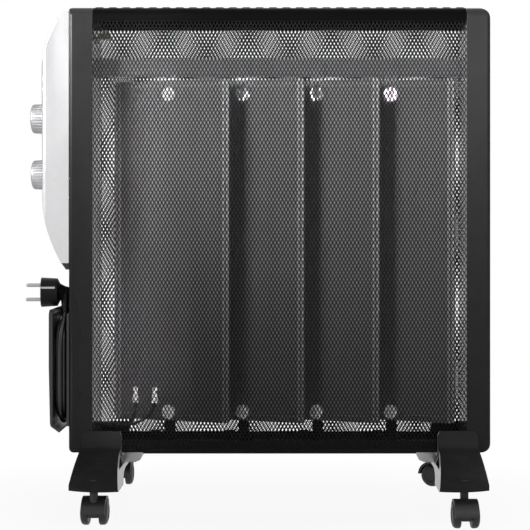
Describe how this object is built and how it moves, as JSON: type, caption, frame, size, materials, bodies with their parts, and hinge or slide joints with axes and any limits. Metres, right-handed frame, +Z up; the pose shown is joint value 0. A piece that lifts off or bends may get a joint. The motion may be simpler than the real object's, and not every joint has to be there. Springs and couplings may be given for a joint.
{
  "type": "mica panel convector heater",
  "caption": "Slim electric convector heater with upright turned mica panels behind expanded-metal grilles, end controls, cord store and swivel castors.",
  "frame": {"origin": "on the floor, under the middle of the heater's box, mains cord and plug left out", "axes": "+Z up; the broad sides face -Y and +Y; the control end, with knobs and wound cord, faces -X"},
  "size_m": [0.586, 0.269, 0.6314],
  "materials": {
    "column_plastic": "satin, fine moulded grain",
    "cover_plastic": "satin black",
    "black_steel": "semi-gloss black powder coat",
    "zinc_steel": "zinc plated",
    "panel_metal": "dark grey heat-resistant coating",
    "mica": "pressed mica sheet",
    "plated_metal": "nickel plated",
    "cord_rubber": "smooth black sheath",
    "plug_rubber": "satin black moulding",
    "ceramic": "unglazed ceramic",
    "inner_plastic": "satin black",
    "silver_plastic": "silver metallic paint, satin",
    "knob_metal": "silver metallic, fluted",
    "shaft_steel": "turned steel",
    "dial_red": "translucent red",
    "lens_red": "clear red lens",
    "bracket_plastic": "satin black",
    "foot_plastic": "satin black, fine grain",
    "castor_plastic": "satin black",
    "wheel_plastic": "satin dark grey",
    "black_screw": "black zinc"
  },
  "bodies": {
    "heater": {"left_column": "column_plastic", "right_column": "column_plastic", "top_cover": "cover_plastic", "base_tray": "black_steel", "front_mesh": "black_steel", "rear_mesh": "black_steel", "upper_rail": "zinc_steel", "upper_hangers": "zinc_steel", "lower_hangers": "zinc_steel", "front_plate_1": "panel_metal", "front_plate_2": "panel_metal", "front_plate_3": "panel_metal", "front_plate_4": "panel_metal", "mica_elements": "mica", "rear_plates": "panel_metal", "panel_washers": "zinc_steel", "panel_screws": "zinc_steel", "element_terminals": "plated_metal", "element_wires": "cord_rubber", "thermal_cutout": "ceramic", "control_base": "inner_plastic", "control_cover": "silver_plastic", "dial_plate": "dial_red", "indicator_lens": "lens_red", "thermostat_body": "ceramic", "mode_switch_body": "inner_plastic", "tip_switch_body": "inner_plastic", "cord_bracket": "bracket_plastic", "cable_gland": "cord_rubber", "cord_lead": "cord_rubber", "cord_hank": "cord_rubber", "cord_tail": "cord_rubber", "plug_body": "plug_rubber", "plug_pins": "plated_metal", "left_foot": "foot_plastic", "right_foot": "foot_plastic", "castor_sockets": "castor_plastic", "foot_screws": "zinc_steel", "rear_screws": "black_screw"},
    "thermostat": {"thermostat_knob": "knob_metal", "thermostat_shaft": "shaft_steel"},
    "mode_switch": {"mode_knob": "knob_metal", "mode_shaft": "shaft_steel"},
    "tip_switch": {"tip_pendulum": "shaft_steel"},
    "castor_front_left": {"castor_hood_front_left": "castor_plastic", "castor_stem_front_left": "shaft_steel"},
    "wheels_front_left": {"castor_wheels_front_left": "wheel_plastic", "castor_axle_front_left": "shaft_steel"},
    "castor_front_right": {"castor_hood_front_right": "castor_plastic", "castor_stem_front_right": "shaft_steel"},
    "wheels_front_right": {"castor_wheels_front_right": "wheel_plastic", "castor_axle_front_right": "shaft_steel"},
    "castor_rear_left": {"castor_hood_rear_left": "castor_plastic", "castor_stem_rear_left": "shaft_steel"},
    "wheels_rear_left": {"castor_wheels_rear_left": "wheel_plastic", "castor_axle_rear_left": "shaft_steel"},
    "castor_rear_right": {"castor_hood_rear_right": "castor_plastic", "castor_stem_rear_right": "shaft_steel"},
    "wheels_rear_right": {"castor_wheels_rear_right": "wheel_plastic", "castor_axle_rear_right": "shaft_steel"}
  },
  "joints": [
    {"name": "thermostat_turn", "type": "hinge", "parent": "heater", "child": "thermostat", "pos_m": [-0.2736, 0, 0.493], "axis": [1, 0, 0], "range_deg": [0, 270]},
    {"name": "mode_turn", "type": "hinge", "parent": "heater", "child": "mode_switch", "pos_m": [-0.2728, 0, 0.4215], "axis": [1, 0, 0], "range_deg": [0, 135]},
    {"name": "tip_swing", "type": "hinge", "parent": "heater", "child": "tip_switch", "pos_m": [-0.253, 0, 0.368], "axis": [0, 1, 0], "range_deg": [-15, 15]},
    {"name": "swivel_front_left", "type": "hinge", "parent": "heater", "child": "castor_front_left", "pos_m": [-0.1935, -0.1075, 0.045], "axis": [0, 0, 1], "continuous": true},
    {"name": "roll_front_left", "type": "hinge", "parent": "castor_front_left", "child": "wheels_front_left", "pos_m": [-0.1935, -0.0995, 0.015], "axis": [1, 0, 0], "continuous": true},
    {"name": "swivel_front_right", "type": "hinge", "parent": "heater", "child": "castor_front_right", "pos_m": [0.2455, -0.1075, 0.045], "axis": [0, 0, 1], "continuous": true},
    {"name": "roll_front_right", "type": "hinge", "parent": "castor_front_right", "child": "wheels_front_right", "pos_m": [0.2455, -0.1155, 0.015], "axis": [1, 0, 0], "continuous": true},
    {"name": "swivel_rear_left", "type": "hinge", "parent": "heater", "child": "castor_rear_left", "pos_m": [-0.1935, 0.1075, 0.045], "axis": [0, 0, 1], "continuous": true},
    {"name": "roll_rear_left", "type": "hinge", "parent": "castor_rear_left", "child": "wheels_rear_left", "pos_m": [-0.1935, 0.1155, 0.015], "axis": [1, 0, 0], "continuous": true},
    {"name": "swivel_rear_right", "type": "hinge", "parent": "heater", "child": "castor_rear_right", "pos_m": [0.2455, 0.1075, 0.045], "axis": [0, 0, 1], "continuous": true},
    {"name": "roll_rear_right", "type": "hinge", "parent": "castor_rear_right", "child": "wheels_rear_right", "pos_m": [0.23857, 0.1115, 0.015], "axis": [0.5, 0.866, 0], "continuous": true}
  ]
}
